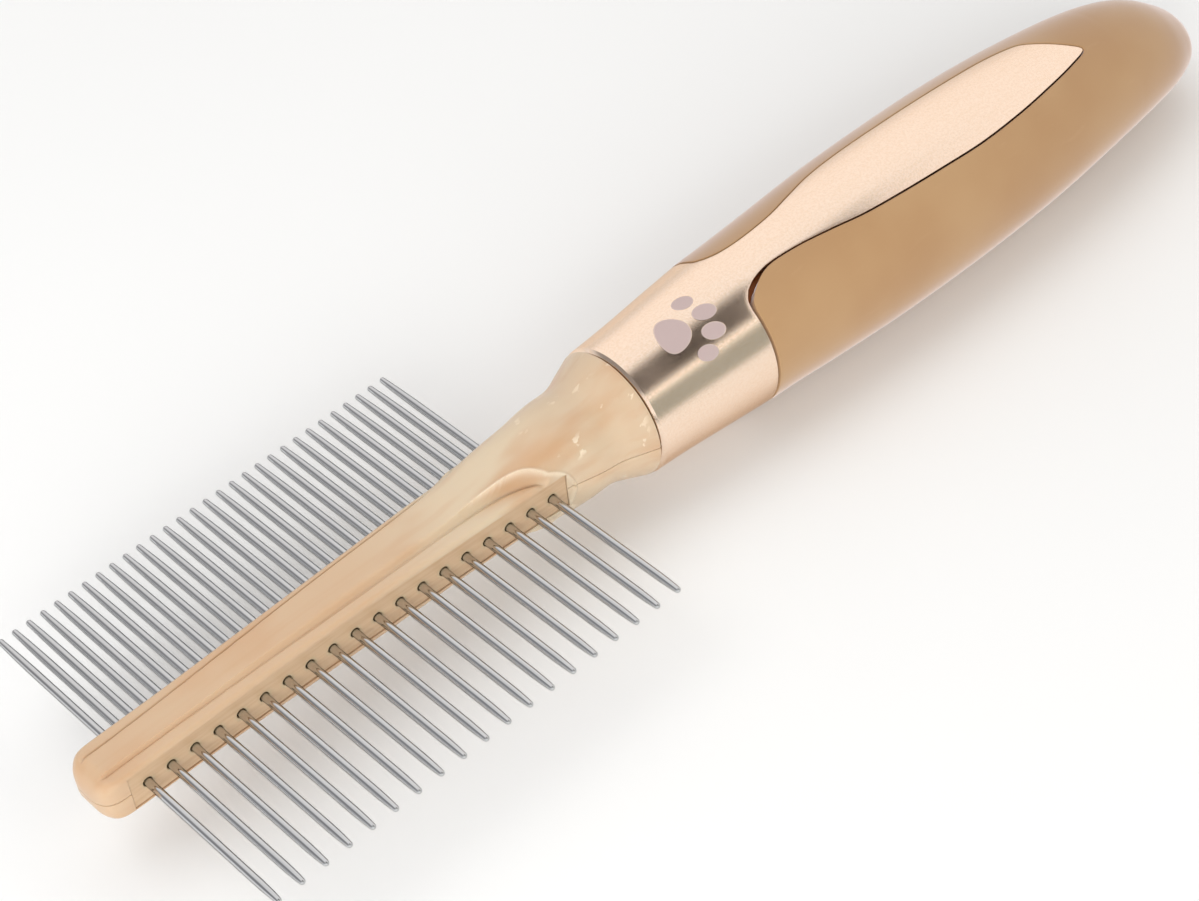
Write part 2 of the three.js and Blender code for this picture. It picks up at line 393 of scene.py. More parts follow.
def pawMask(graph, x, arc):
    # 1 inside the printed paw, in millimetres along and round the collar
    cosine, sine = math.cos(pawPrint["turn"]), math.sin(pawPrint["turn"])
    u, v = x - pawPrint["x"], arc - pawPrint["arc"]
    along, across = u * cosine + v * sine, v * cosine - u * sine
    mask = None
    for spot in [pawPrint["pad"], *pawPrint["toes"]]:
        a, b, halfLength, halfWidth = spot
        p, q = (along - a) / halfLength, (across - b) / halfWidth
        # the broad pad is drawn in towards its back, like a rounded triangle
        if spot == pawPrint["pad"]:
            q = q * graph.ramp(p, -1.4, 1.2, 0.86, 1.35)
        inside = graph.ramp(p * p + q * q, 1 - pawPrint["edge"], 1 + pawPrint["edge"], 1.0, 0.0)
        mask = inside if mask is None else graph.maths("MAXIMUM", mask, inside)
    return mask


goldLook = {
    "bright": "fce4cf",
    "deep": "f9dec6",
    "brushed": "f4d9bb",
    "grazing": "ecdccd",
    "ink": ("b9a4a2", "c8b4b0"),
    "rough": 0.19,
    "polishedEdge": (0.3, 0.7),  # from the front of the collar
}


def satinGold(handleRadius):
    material, graph, at = newMaterial("satinRoseGold")
    x, y, z = graph.axes(at)
    arc = graph.maths("ARCTAN2", 0.0 - y, z) * handleRadius
    printed = pawMask(graph, x, arc)
    grain = graph.noise(at, 9.0, 2.0, 0.6)
    coarse = graph.noise(at, 2.6, 2.0)
    brush = graph.noise(graph.stretched(at, (0.15, 2.5, 2.5)), 1.0, 2.0)
    bright, deep = colour(goldLook["bright"]), colour(goldLook["deep"])
    metal = graph.blend(graph.ramp(coarse, 0.35, 0.65), bright, deep)
    metal = graph.blend(graph.ramp(brush, 0.45, 0.75, 0.0, 0.2), metal, colour(goldLook["brushed"]))
    ink = graph.blend(grain, *(colour(code) for code in goldLook["ink"]))
    rough = goldLook["rough"] + (grain - 0.5) * 0.2 + (coarse - 0.5) * 0.06
    # the turned front edge is polished
    low, high = (handle["start"] + edge for edge in goldLook["polishedEdge"])
    polished = graph.ramp(x, low, high, 1.0, 0.0)
    rough = rough * (1 - polished * 0.6)
    surface(graph, {
        "Base Color": graph.blend(printed, metal, ink),
        "Metallic": 1 - printed * 0.9,
        "Roughness": graph.maths("MAXIMUM", rough, printed * 0.5),
        "Normal": graph.raised(grain + coarse * 0.15 + printed * 2.5, 0.012 * mm, 0.8),
        "Specular Tint": colour(goldLook["grazing"]),
    })
    return material


rubberLook = {"deep": "b18a61", "light": "b8936a", "scuff": "c4a07a", "sheen": "fff6f8"}


def matteRubber():
    material, graph, at = newMaterial("matteGripRubber")
    drift = graph.noise(at, 0.05, 2.0)
    grain = graph.noise(at, 7.0, 3.0, 0.6)
    scuff = graph.noise(graph.stretched(at, (0.15, 0.7, 0.7)), 1.0, 3.0)
    deep, light = colour(rubberLook["deep"]), colour(rubberLook["light"])
    tone = graph.blend(graph.ramp(drift, 0.3, 0.7), deep, light)
    tone = graph.blend(graph.ramp(scuff, 0.6, 0.85, 0.0, 0.2), tone, colour(rubberLook["scuff"]))
    surface(graph, {
        "Base Color": tone,
        "Roughness": 0.6 + (grain - 0.5) * 0.16,
        "Normal": graph.raised(grain, 0.02 * mm, 0.6),
        "IOR": 1.45,
        "Specular IOR Level": 0.4,
        "Sheen Weight": 1.0,
        "Sheen Roughness": 0.36,
        "Sheen Tint": colour(rubberLook["sheen"]),
    })
    return material


steelLook = {"dark": "c6c7c9", "light": "d6d6d6", "grazing": "4a4a4c"}


def pinSteel():
    material, graph, at = newMaterial("polishedPinSteel")
    draw = graph.noise(graph.stretched(at, (3.5, 0.12, 3.5)), 1.0, 3.0, 0.6)
    fine = graph.noise(at, 5.0, 2.0)
    surface(graph, {
        "Base Color": graph.blend(draw, colour(steelLook["dark"]), colour(steelLook["light"])),
        "Metallic": 1.0,
        "Roughness": 0.1 + (draw - 0.5) * 0.04 + (fine - 0.5) * 0.02,
        "Normal": graph.raised(draw, 0.001 * mm, 0.4),
        "Specular Tint": colour(steelLook["grazing"]),
    })
    return material


head = {
    "tip": -8.0,
    "neckEnd": 98.8,
    "face": (4.75, 7.1, 5.0, 82.2),  # half width at the tip and at the neck, and where it widens
    "lipProud": 0.2,
    "crown": 0.1,  # how much the top falls away to the sides
    "tipLength": 4.6,
    "tipPower": 2.9,
    "tipDrop": 2.6,
    "tipDropPower": 2.3,
    "lip": [(-8, 4.15), (0, 4.2), (11, 4.3), (24, 4.55), (37, 4.65), (50, 4.6), (64, 4.4), (84, 4.4)],
    "corner": 0.75,
    "tipCorner": (1.2, 2.5),  # what the tip adds to the corner, and over what length
    "cornerShare": 0.48,
    "parting": 0.06,
    "seamInset": 0.1,  # the sides step in by this at the parting line
    "seamFrom": 82,
    "ribEdge": 2.3,
    "ribProud": 0.45,
    "ribStart": -6.3,
    "ribRise": 1.2,
    # the near groove widens into a soft valley: its size beside the tip, and what the valley adds
    "valleyRange": (5, 45),
    "ribSlope": (0.14, 0.25),
    "grooveDepth": (0.28, 0.3),
    "groovePlace": (0.3, 0.35),
    "grooveWidth": (0.17, 0.33),
    "neck": [(58, 5.0), (62, 5.2), (70, 6.2), (77, 7.7), (83, 8.85), (88, 9.1), (91, 9.2), (93, 9.6),
             (95.2, 10.45), (98.8, 11.85)],
    "neckStart": 58,
    "neckBlend": 66,
    "endChamfer": (0.2, 0.12),
    # half width of the neck at its sides, where it meets the pin strips
    "neckSide": [(58, 6.06), (66, 6.42), (76, 6.98), (82.3, 7.42), (85, 7.95), (88, 8.75),
                 (91, 9.2), (92, 9.38)],
    "roundRange": (89, 92),
    "squareness": 4,
    "rounding": [(70, 82, 1.2), (82, 91.5, 0.8)],  # from, to, and the squareness lost there
    # half width of the neck's front edge, which sweeps out round the last pins
    "sweep": [(62, 2.3), (66, 2.45), (70, 2.8), (73, 3.3), (76, 4.4), (78.6, 6.2), (80.6, 7.6), (82.4, 9.2),
              (84.2, 11.8), (85.4, 15), (86.4, 19)],
    # the far side has a plain rib edge that runs out to the edge of the neck
    "farEdge": [(-8, 2.3), (0, 2.3), (20, 3.0), (40, 3.9), (55, 4.5), (64, 5.2), (70, 6.2), (75, 8),
                (79, 11), (82, 14), (86.4, 19)],
    "sweepStart": 62,
    "ridge": {"height": 0.24, "inset": 0.22, "width": 0.34, "rise": (64, 72)},
    # the pale painted highlight along the near ridge
    "paintedRidgeHighlight": {"inset": 0.2, "width": 0.19, "rise": (64, 70), "fall": (84.5, 82)},
    "scoop": {"least": 0.3, "extra": 0.5, "middle": 75, "length": 6, "lead": 0.15, "power": 1.6},
    "topSpans": 20,
    "cornerSpans": 5,
    "sideSpans": 20,
    "cornerReach": 1.3,  # lengths round the corner and down the side, as the scoop counts them
    "sideReach": 0.8,
    "firstStation": 0.03,
    "tipStep": 5,  # degrees of the tip's rounding
    "midStep": 0.5,
    "lastStep": 0.25,
    "scooped": (64, 87),
    "channel": (-3.2, 82.3, 3.45),  # the slot for the pin strips: from, to, and height
    "cutPast": (30, 2),  # how far its cutter runs out sideways and past the parting line
    "tang": {"start": 90, "halfWidth": 6.0, "halfHeight": 5.0, "length": 42.3, "parting": 0.15},
    "sharpAbove": 32,
}
neckRadius = rising(head["neck"])
lipHeight = rising(head["lip"])
sweepWidth = rising(head["sweep"])
neckSide = rising(head["neckSide"])
farEdge = rising(head["farEdge"])


def faceAt(x):
    atTip, atNeck, start, end = head["face"]
    return atTip + (atNeck - atTip) * (max(0, x - start) / (end - start)) ** 2


def valleySize(key, valley):
    start, added = head[key]
    return start + added * valley


def lipSection(x, far):
    # half of the upper section before the neck rounds it, as (y, z) from the middle of the top down
    # to the parting line, with each point's reach from the middle, and how many points are on top
    run = x - head["tip"]
    full = faceAt(x) + head["lipProud"]
    narrow = (1 - max(0, 1 - run / head["tipLength"]) ** head["tipPower"]) ** (1 / head["tipPower"])
    low = (1 - max(0, 1 - run / head["tipDrop"]) ** head["tipDropPower"]) ** (1 / head["tipDropPower"])
    width, height = full * narrow, lipHeight(x) * low
    extra, length = head["tipCorner"]
    corner = head["corner"] + extra * bump(head["tip"], length, x)
    corner = min(corner, head["cornerShare"] * width, head["cornerShare"] * height)
    ribEdge = ribEdgeAt(x, far)
    valley = 0 if far else smoothStep(*head["valleyRange"], x)
    slope, depth = valleySize("ribSlope", valley), valleySize("grooveDepth", valley)
    groove, grooveWidth = ribEdge + valleySize("groovePlace", valley), valleySize("grooveWidth", valley)
    ribFade = smoothStep(head["ribStart"], head["ribStart"] + head["ribRise"], x)
    # closer together round the rib's edge
    tops = [0, 0.8, 1.5, 1.9, 2.1, 2.25, 2.4, 2.55, 2.7, 2.85, 3.05, 3.3]
    inner = full - head["corner"]
    tops += [mix(tops[-1], inner, k / head["topSpans"]) for k in range(1, head["topSpans"] + 1)]
    points, reach = [], []
    for top in tops:
        y = top * (width - corner) / inner
        rib = head["ribProud"] * (1 - smoothStep(ribEdge - slope, ribEdge + slope, y))
        rib -= depth * bump(groove, grooveWidth, y)
        points.append((y, height + rib * ribFade * low - head["crown"] * (y / full) ** 2))
        reach.append(y)
    topY, topZ = points[-1]
    spans = head["cornerSpans"]
    for k in range(1, spans + 1):
        angle = math.radians(90 * k / spans)
        points.append((topY + corner * math.sin(angle), topZ - corner * (1 - math.cos(angle))))
        reach.append(topY + head["cornerReach"] * corner * k / spans)
    sideStart, sideZ = reach[-1], points[-1][1]
    spans = head["sideSpans"]
    for k in range(1, spans + 1):
        points.append((width, mix(sideZ, head["parting"], k / spans)))
        reach.append(sideStart + head["sideReach"] * sideZ * k / spans)
    points[-1] = (width - head["seamInset"], head["parting"])
    return points, reach, len(tops)


def ribEdgeAt(x, far):
    if far:
        return farEdge(x)
    return sweepWidth(x) if x >= head["sweepStart"] else head["ribEdge"]


def headSection(x, far):
    # half of the upper section with the neck worked in, and how much painted highlight each of its points
    # gets
    points, reach, topCount = lipSection(x, far)
    if x <= head["neckStart"]:
        return points, [0] * len(points)
    ribEdge = ribEdgeAt(x, far)
    ridge, paintedRidgeHighlight, scoop = head["ridge"], head["paintedRidgeHighlight"], head["scoop"]
    radius = neckRadius(x)
    chamferLength, chamferDepth = head["endChamfer"]
    if x > head["neckEnd"] - chamferLength:
        radius -= chamferDepth
    power = head["squareness"]
    for start, end, lost in head["rounding"]:
        power -= lost * smoothStep(start, end, x)
    roundFrom, roundBy = head["roundRange"]
    side = mix(neckSide(min(x, roundBy)), radius, smoothStep(roundFrom, roundBy, x))

    def angleAt(y):
        return math.asin(min(0.999, (y / side) ** (power / 2)))

    topAngle = angleAt(points[topCount - 1][0])
    crestRise = 0 if far else ridge["height"] * smoothStep(*ridge["rise"], x)
    highlightRise = 0 if far else smoothStep(*paintedRidgeHighlight["rise"], x) * smoothStep(*paintedRidgeHighlight["fall"], x)
    scoopWidth = scoop["least"] + scoop["extra"] * bump(scoop["middle"], scoop["length"], x)
    section, highlightAmount = [], []
    for k, (y, z) in enumerate(points):
        if k < topCount:
            angle = angleAt(y)
        else:
            angle = mix(topAngle, math.pi / 2, (k + 1 - topCount) / (len(points) - topCount))
        crest = crestRise * bump(ribEdge - ridge["inset"], ridge["width"], reach[k])
        across = (side + crest) * max(0, math.sin(angle)) ** (2 / power)
        rise = (radius + crest) * max(0, math.cos(angle)) ** (2 / power)
        if k == len(points) - 1 and x > head["seamFrom"]:
            across -= head["seamInset"]
        # painted highlight, strongest just inside the ridge's edge
        highlightAmount.append(highlightRise * bump(ribEdge - paintedRidgeHighlight["inset"], paintedRidgeHighlight["width"], reach[k]))
        # the scoop falls steeply from the ridge and runs out gently on the lip
        fall = min(1, max(0, (reach[k] - ribEdge + scoop["lead"]) / scoopWidth))
        inNeck = (1 - fall) ** scoop["power"] * smoothStep(head["neckStart"], head["neckBlend"], x)
        section.append((mix(y, across, inNeck), mix(z, max(rise, head["parting"]), inNeck)))
    return section, highlightAmount


def headStations():
    # closer together where the tip rounds off and round the scoops
    start, length = head["tip"] + head["firstStation"], head["tipLength"]
    stations = [start + length * (1 - math.cos(math.radians(degrees)))
                for degrees in range(0, 91, head["tipStep"])]
    stations += [start + length + head["midStep"] * k for k in range(1, 4)]
    scoopStart, scoopEnd = head["scooped"]
    for end, count in ((scoopStart, 34), (scoopEnd, 120), (head["neckEnd"] - head["lastStep"], 18)):
        start = stations[-1]
        stations += [mix(start, end, k / count) for k in range(1, count + 1)]
    return stations + [head["neckEnd"]]


def headShell(name, side, material):
    stations = headStations()
    points, paintedRidgeHighlight = [], []
    for x in stations:
        (near, nearHighlight), (far, farHighlight) = headSection(x, False), headSection(x, True)
        for y, z in [(-y, z) for y, z in near[:0:-1]] + far:
            points.append((x, y, side * z))
        paintedRidgeHighlight += nearHighlight[:0:-1] + farHighlight
    count = len(stations)
    columns = len(points) // count
    faces = gridFaces(count, columns)
    for i in range(count - 1):
        a = i * columns
        faces.append((a, a + columns, a + 2 * columns - 1, a + columns - 1))
    faces.append(tuple(range(columns)))
    faces.append(tuple(range((count - 1) * columns, count * columns)))
    shell = newPiece(name, points, faces, material, head["sharpAbove"], paintedRidgeHighlight)
    start, end, height = head["channel"]
    past, under = head["cutPast"]
    low, high = sorted((-side * under, side * height))
    combine(shell, block("slot", (start, -past, low), (end, past, high), material), "DIFFERENCE")
    tang = head["tang"]
    low, high = sorted((side * tang["parting"], side * tang["halfHeight"]))
    halfWidth, tangEnd = tang["halfWidth"], head["neckEnd"] + tang["length"]
    bar = block("tang", (tang["start"], -halfWidth, low), (tangEnd, halfWidth, high), material)
    combine(shell, bar, "UNION")
    shade(shell, head["sharpAbove"])
    return shell


pinRows = {
    "wide": {"side": -1, "count": 19, "first": 0.0, "pitch": 4.4, "hole": 0.86,
             "shank": 0.7, "taper": 4.5, "tip": 0.5},
    "fine": {"side": 1, "count": 30, "first": 0.62, "pitch": 2.688, "hole": 0.86,
             "shank": 0.7, "taper": 9.0, "tip": 0.5},
}
carrier = {
    "inner": 2.3,
    "halfHeight": 3.38,
    "start": -3.1,
    "end": 82.2,
    "chamfer": 0.1,
    "spans": 60,
    "drillInside": 1.0,
    "drillOutside": 0.5,
    "sharpAbove": 25,
}


def ringFaces(rings, around, start=0):
    # a closed tube through rings of points that follow each other, with both ends capped
    faces = []
    for i in range(rings - 1):
        for k in range(around):
            a, b = start + i * around + k, start + i * around + (k + 1) % around
            faces.append((a, b, b + around, a + around))
    last = start + (rings - 1) * around
    return faces + [tuple(range(start, start + around)), tuple(range(last, last + around))]


def turnedAlongY(profile, x, side, around=24):
    # points of a profile of (y, radius) turned round a line along Y
    points = []
    for y, radius in profile:
        for k in range(around):
            angle = 2 * math.pi * k / around
            points.append((x + radius * math.cos(angle), side * y, radius * math.sin(angle)))
    return points


def pinCarrier(name, row, material):
    side, height, edge, inner = row["side"], carrier["halfHeight"], carrier["chamfer"], carrier["inner"]
    spans = carrier["spans"]
    points = []
    for k in range(spans + 1):
        x = mix(carrier["start"], carrier["end"], k / spans)
        outer = faceAt(x)
        for y, z in [(inner, -height), (outer - edge, -height), (outer, edge - height),
                     (outer, height - edge), (outer - edge, height), (inner, height)]:
            points.append((x, side * y, z))
    strip = newPiece(name, points, ringFaces(spans + 1, 6), material)
    drillPoints, drillFaces = [], []
    hole, outside = row["hole"], carrier["drillOutside"]
    for k in range(row["count"]):
        x = row["first"] + k * row["pitch"]
        outer = faceAt(x)
        profile = [(inner - carrier["drillInside"], hole), (outer - edge, hole),
                   (outer + outside, hole + edge + outside)]
        drillFaces += ringFaces(len(profile), 24, len(drillPoints))
        drillPoints += turnedAlongY(profile, x, side)
    combine(strip, newPiece("drills", drillPoints, drillFaces, material), "DIFFERENCE")
    shade(strip, carrier["sharpAbove"])
    return strip


pin = {
    "flangeThickness": 0.8,
    "chamfer": 0.15,
    "sides": 24,
    "hair": 0.001,  # keeps two stations of one step apart
    "straight": (0.4, 4.0),  # stations of the shank, after the flange and before the taper
    "taperStart": 0.99,
    # share of the taper still to run, and share of its thickness over the tip's that is left there
    "taperShape": [(0.5, 0.62), (0.25, 0.26)],
    "tipAngles": (0, 18, 36, 54, 72, 86),
    "sharpAbove": 40,
}
pinInputs = {
    "Place": "NodeSocketVector",
    "Side": "NodeSocketFloat",
    "Length": "NodeSocketFloat",
    "Shank radius": "NodeSocketFloat",
    "Flange radius": "NodeSocketFloat",
    "Flange thickness": "NodeSocketFloat",
    "Chamfer": "NodeSocketFloat",
    "Taper": "NodeSocketFloat",
    "Tip radius": "NodeSocketFloat",
    "Sides": "NodeSocketInt",
    "Finish": "NodeSocketMaterial",
}


def pinTree():
    tree = bpy.data.node_groups.new("turnedPin", "GeometryNodeTree")
    for name, kind in pinInputs.items():
        tree.interface.new_socket(name, in_out="INPUT", socket_type=kind)
    tree.interface.new_socket("Pin", in_out="OUTPUT", socket_type="NodeSocketGeometry")
    graph = Graph(tree)
    given = graph.node("NodeGroupInput")
    size = {name: Wire(graph, given.outputs[name]) for name in pinInputs}
    length, shank, flange = size["Length"], size["Shank radius"], size["Flange radius"]
    thick, chamfer = size["Flange thickness"], size["Chamfer"]
    taper, tip = size["Taper"], size["Tip radius"]
    hair = pin["hair"] * mm
    afterFlange, beforeTaper = (distance * mm for distance in pin["straight"])
    stations = [
        (hair, flange - chamfer),
        (chamfer, flange),
        (thick - chamfer, flange),
        (thick, flange - chamfer),
        (thick + hair, shank),
        (thick + afterFlange, shank),
        (length - taper - beforeTaper, shank),
        (length - taper, shank * pin["taperStart"]),
    ]
    for toRun, left in pin["taperShape"]:
        stations.append((length - taper * toRun, tip + (shank - tip) * left))
    for degrees in pin["tipAngles"]:
        angle = math.radians(degrees)
        stations.append((length - tip + tip * math.sin(angle), tip * math.cos(angle)))
    line = graph.wire("GeometryNodeCurvePrimitiveLine", 0, None, {"End": (0.0, 1.0, 0.0)})
    inputs = {"Curve": line, "Count": len(stations)}
    line = graph.wire("GeometryNodeResampleCurve", 0, None, inputs)
    index = graph.wire("GeometryNodeInputIndex")

    def byIndex(values):
        # the value that belongs to a point's place along the line
        switch = graph.node("GeometryNodeIndexSwitch", {"data_type": "FLOAT"})
        for _ in values[2:]:
            switch.index_switch_items.new()
        tree.links.new(index.socket, switch.inputs[0])
        for k, value in enumerate(values):
            if isinstance(value, Wire):
                tree.links.new(value.socket, switch.inputs[k + 1])
            else:
                switch.inputs[k + 1].default_value = value
        return Wire(graph, switch.outputs[0])

    along = byIndex([s[0] for s in stations]) * size["Side"]
    radius = byIndex([s[1] for s in stations])
    inputs = {0: size["Place"], 1: graph.wire("ShaderNodeCombineXYZ", 0, None, {"Y": along})}
    position = graph.wire("ShaderNodeVectorMath", 0, {"operation": "ADD"}, inputs)
    line = graph.wire("GeometryNodeSetPosition", 0, None, {"Geometry": line, "Position": position})
    inputs = {"Resolution": size["Sides"], "Radius": 1.0}
    ring = graph.wire("GeometryNodeCurvePrimitiveCircle", 0, None, inputs)
    inputs = {"Curve": line, "Profile Curve": ring, "Scale": radius, "Fill Caps": True}
    body = graph.wire("GeometryNodeCurveToMesh", 0, None, inputs)
    body = graph.wire("GeometryNodeRealizeInstances", 0, None, {"Geometry": body})
    inputs = {"Geometry": body, "Material": size["Finish"]}
    body = graph.wire("GeometryNodeSetMaterial", 0, None, inputs)
    graph.node("NodeGroupOutput", None, {"Pin": body})
    return tree


def turnPin(tree, row, node, material):
    low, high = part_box(node)
    centre = (low + high) / 2
    inner = high.y if row["side"] < 0 else low.y
    values = {
        "Place": (centre.x, inner, centre.z),
        "Side": float(row["side"]),
        "Length": high.y - low.y,
        "Shank radius": row["shank"] * mm,
        "Flange radius": (high.z - low.z) / 2,
        "Flange thickness": pin["flangeThickness"] * mm,
        "Chamfer": pin["chamfer"] * mm,
        "Taper": row["taper"] * mm,
        "Tip radius": row["tip"] * mm,
        "Sides": pin["sides"],
        "Finish": material,
    }
    turned = bpy.data.objects.new(node.replace("_", "") + "Turned", bpy.data.meshes.new(node))
    bpy.context.scene.collection.objects.link(turned)
    step = turned.modifiers.new("turning", "NODES")
    step.node_group = tree
    for item in tree.interface.items_tree:
        if item.in_out == "INPUT":
            step[item.identifier] = values[item.name]
    applied(turned)
    tidy = bmesh.new()
    tidy.from_mesh(turned.data)
    bmesh.ops.recalc_face_normals(tidy, faces=tidy.faces)
    tidy.to_mesh(turned.data)
    tidy.free()
    shade(turned, pin["sharpAbove"])
    return turned


handle = {
    "start": 99.1,
    "collarEnd": 123.9,
    "frontChamfer": (0.022, 0.5),  # share of the collar's length, and depth
    "collarRows": 26,
    "arcRadius": 14.0,  # lengths round the handle are measured at this radius
    "skin": 2.0,
    "clear": 0.03,
    "rim": 0.4,
    "sharpAbove": 30,
    # the rubber's gap to the gold, and what is added at the collar and in the two inner corners
    "gap": 0.3,
    "rearGap": 0.22,
    "innerCorner": 0.85,
    "farCorner": 0.2,
    # x, radius, centre height
    "line": [(97, 11.75, 0), (99.1, 11.95, 0), (107, 12.4, 0), (116, 13.15, 0), (125, 13.85, -0.03),
             (131, 14.1, -0.15), (140, 14.6, -0.4), (156, 15.4, -0.6), (173, 15.6, -0.85),
             (187, 15.35, -1.1), (200, 14.65, -1.45), (213, 13.42, -1.85), (222, 12.3, -2.4),
             (229, 11.1, -3.3), (234, 9.85, -4.4), (238, 8.35, -5.6), (241.5, 6.55, -6.75),
             (243.9, 4, -7.5), (244.7, 0, -7.7)],
    "near": [(125.6, -5.9), (128, -4.9), (132, -4.3), (138.5, -4.8), (145.5, -6), (152, -7.2), (160, -8),
             (170, -8.6), (180, -8.9), (190, -8.4), (198, -7.5), (205, -6.4), (212, -4.9)],
    "far": [(125.6, 4.3), (128, 3.4), (133, 3), (140, 3.4), (146, 4.6), (152, 5.8), (160, 6.2), (172, 5.9),
            (187, 5.3), (196, 4.8), (203, 3.6)],
    # where each edge of the tongue turns into the collar's rear edge
    "nearShoulder": [(125.6, -5.9), (124.35, -7.1), (123.92, -8.5)],
    "farShoulder": [(123.92, 7.0), (124.3, 5.5), (125.6, 4.3)],
    "spans": {"near": 100, "end": 20, "far": 100, "rear": 160},
    "lastRing": 219,
    "ringSpans": 12,
    "buttFrom": 200,
    "buttSpans": 90,
    "leastRadius": 0.3,
}
wholeTurn = 2 * math.pi * handle["arcRadius"]
handleLine = rising(handle["line"][:-3])  # the last three points only round the butt off


def handleAt(x):
    radius, centre = handleLine(x)
    return radius - handle["clear"], centre


def handlePoint(x, radius, centre, arc):
    # arc is the length from the top round towards the wide pins
    angle = arc / handle["arcRadius"]
    return (x, -radius * math.sin(angle), centre + radius * math.cos(angle))


def onHandle(x, arc, sink=0):
    radius, centre = handleAt(x)
    return handlePoint(x, radius - sink, centre, arc)


def unrolled(outline):
    # an outline seen from above, as (x, arc)
    return [(x, handle["arcRadius"] * math.asin(-y / handleAt(x)[0])) for x, y in outline]


def tongueOutline():
    # the tongue's near edge, its slanted end, its far edge back to the collar,
    # and the collar's rear edge round the underside, each as a line of (x, arc)
    spans = handle["spans"]
    near, far = unrolled(handle["near"]), unrolled(handle["far"])
    rear = unrolled(handle["nearShoulder"])
    rear += [(handle["collarEnd"], handle["arcRadius"] * math.radians(a)) for a in range(45, 326, 20)]
    rear += [(x, arc + wholeTurn) for x, arc in unrolled(handle["farShoulder"])]
    end = evenly([near[-1], far[-1]], spans["end"], smooth=False)
    return evenly(near, spans["near"]), end, evenly(far, spans["far"])[::-1], evenly(rear, spans["rear"])


def soften(line, corners, passes, reach):
    # rounds the line off near its corners
    line = [list(p) for p in line]
    for _ in range(passes):
        before = [list(p) for p in line]
        for corner in corners:
            for i in range(corner - reach, corner + reach + 1):
                for k in (0, 1):
                    line[i][k] = (before[i - 1][k] + 2 * before[i][k] + before[i + 1][k]) / 4
    return line


def moved(line, distances):
    # the line moved to its left, by a distance for each point
    result = []
    for i, (point, step) in enumerate(zip(line, distances)):
        a, b = line[max(i - 1, 0)], line[min(i + 1, len(line) - 1)]
        length = math.dist(a, b)
        result.append([point[0] - step * (b[1] - a[1]) / length, point[1] + step * (b[0] - a[0]) / length])
    return result


def patch(bottom, top, left, right):
    # rows of points that fill the space between four lines
    filled = []
    across, up = len(bottom) - 1, len(left) - 1
    for i in range(up + 1):
        v = i / up
        row = []
        for j in range(across + 1):
            u = j / across
            point = []
            for k in (0, 1):
                sides = mix(bottom[j][k], top[j][k], v) + mix(left[i][k], right[i][k], u)
                corners = mix(mix(bottom[0][k], bottom[-1][k], u), mix(top[0][k], top[-1][k], u), v)
                point.append(sides - corners)
            row.append(point)
        filled.append(row)
    return filled


def walls(piece, segments):
    # gives the skin its thickness inwards and rounds its rims
    wall = piece.modifiers.new("wall", "SOLIDIFY")
    wall.thickness = handle["skin"] * mm
    wall.offset = -1
    rim = piece.modifiers.new("rim", "BEVEL")
    rim.width = handle["rim"] * mm
    rim.segments = segments
    rim.limit_method = "ANGLE"
    rim.angle_limit = math.radians(50)
    applied(piece)
    shade(piece, handle["sharpAbove"])
    return piece


def outlineParts():
    near, end, back, rear = tongueOutline()
    # near edge, slanted end and far edge as one line, with its two corners rounded
    corners = [len(near) - 1, len(near) + len(end) - 2]
    leaf = soften(near + end[1:] + back[1:], corners, passes=5, reach=2)
    return leaf, corners, rear


def leafEdges(leaf, corners):
    # near edge, end and far edge, the two edges both running away from the collar
    return leaf[:corners[0] + 1], leaf[corners[0]:corners[1] + 1], leaf[corners[1]:][::-1]


def goldSleeve(material):
    leaf, corners, rear = outlineParts()
    near, end, far = leafEdges(leaf, corners)
    base = evenly([near[0], far[0]], len(end) - 1, smooth=False)
    # collar, from its chamfered front edge to the rear edge and the foot of the tongue
    ring = rear[:-1] + [(x, arc + wholeTurn) for x, arc in base[::-1]]
    chamferShare, chamferDepth = handle["frontChamfer"]
    count = handle["collarRows"]
    shares = [0.0] + [mix(chamferShare, 1, k / count) for k in range(count + 1)]
    points = []
    for k, share in enumerate(shares):
        sink = chamferDepth if k == 0 else 0
        points += [onHandle(mix(handle["start"], x, share), arc, sink) for x, arc in ring]
    faces = gridFaces(len(shares), len(ring))
    # tongue
    start = len(points)
    grid = patch(base, end, near, far)
    for row in grid:
        points += [onHandle(x, arc) for x, arc in row]
    faces += gridFaces(len(grid), len(grid[0]), start)
    return walls(newPiece("roseGoldSleeve", points, faces, material), 4)


def gapAlong(count, spread):
    # the rubber's gap at each point of a line, wider towards the inner corners at its two ends
    nearCorner, farCorner = handle["innerCorner"], handle["farCorner"]
    return [handle["gap"] + nearCorner * bump(0, spread, i) + farCorner * bump(count - 1, spread, i)
            for i in range(count)]


